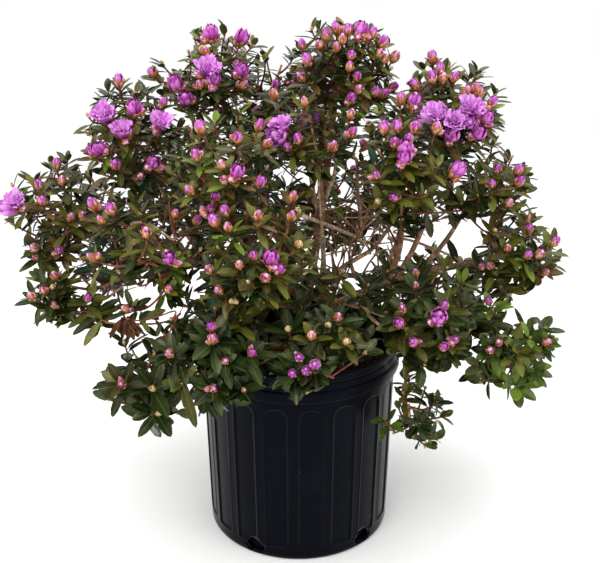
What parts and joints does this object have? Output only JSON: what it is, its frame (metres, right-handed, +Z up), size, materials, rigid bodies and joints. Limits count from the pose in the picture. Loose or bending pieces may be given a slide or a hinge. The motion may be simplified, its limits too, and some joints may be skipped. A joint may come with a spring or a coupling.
{
  "type": "potted rhododendron",
  "caption": "Evergreen flowering shrub with branching stems, whorled leaves, swelling buds and open blooms, standing in a panelled nursery pot with a stepped rim.",
  "frame": {"origin": "middle of the pot's flat underside, on the pot's axis", "axes": "+Z up along the pot's axis, the side shown in the picture faces -Y, and the picture's right is +X"},
  "size_m": [0.8064, 0.5956, 0.7566],
  "materials": {
    "pot_plastic": "black moulded plastic with a dull sheen",
    "potting_mix": "dark bark-based potting mix, loose and matt",
    "old_bark": "grey-brown bark, finely ridged",
    "young_bark": "tan to red-brown young bark",
    "foliage": "leathery dark green leaves with violet blooms and buds"
  },
  "bodies": {
    "root": {"pot": "pot_plastic", "potting_mix": "potting_mix", "trunk": "old_bark", "left_bough": "old_bark", "left_mid_bough": "old_bark", "front_mid_bough": "old_bark", "top_left_bough": "old_bark", "top_right_mid_bough": "old_bark", "right_bough": "old_bark", "back_low_bough": "old_bark", "left_low_bough": "young_bark", "upper_left_bough": "young_bark", "low_left_bough": "young_bark", "front_left_bough": "young_bark", "front_bough": "young_bark", "front_upper_bough": "young_bark", "front_right_bough": "young_bark", "top_mid_bough": "young_bark", "back_left_bough": "young_bark", "centre_upper_bough": "young_bark", "back_mid_bough": "young_bark", "top_right_bough": "young_bark", "right_upper_bough": "young_bark", "right_mid_bough": "young_bark", "right_low_bough": "young_bark", "droop_bough": "young_bark", "back_right_bough": "young_bark", "back_centre_bough": "young_bark", "back_left_low_bough": "young_bark", "back_right_low_bough": "young_bark", "left_foliage": "foliage", "left_mid_foliage": "foliage", "front_mid_foliage": "foliage", "top_left_foliage": "foliage", "top_right_mid_foliage": "foliage", "right_foliage": "foliage", "back_low_foliage": "foliage", "left_low_foliage": "foliage", "upper_left_foliage": "foliage", "low_left_foliage": "foliage", "front_left_foliage": "foliage", "front_foliage": "foliage", "front_upper_foliage": "foliage", "front_right_foliage": "foliage", "top_mid_foliage": "foliage", "back_left_foliage": "foliage", "centre_upper_foliage": "foliage", "back_mid_foliage": "foliage", "top_right_foliage": "foliage", "right_upper_foliage": "foliage", "right_mid_foliage": "foliage", "right_low_foliage": "foliage", "droop_foliage": "foliage", "back_right_foliage": "foliage", "back_centre_foliage": "foliage", "back_left_low_foliage": "foliage", "back_right_low_foliage": "foliage"}
  },
  "joints": []
}
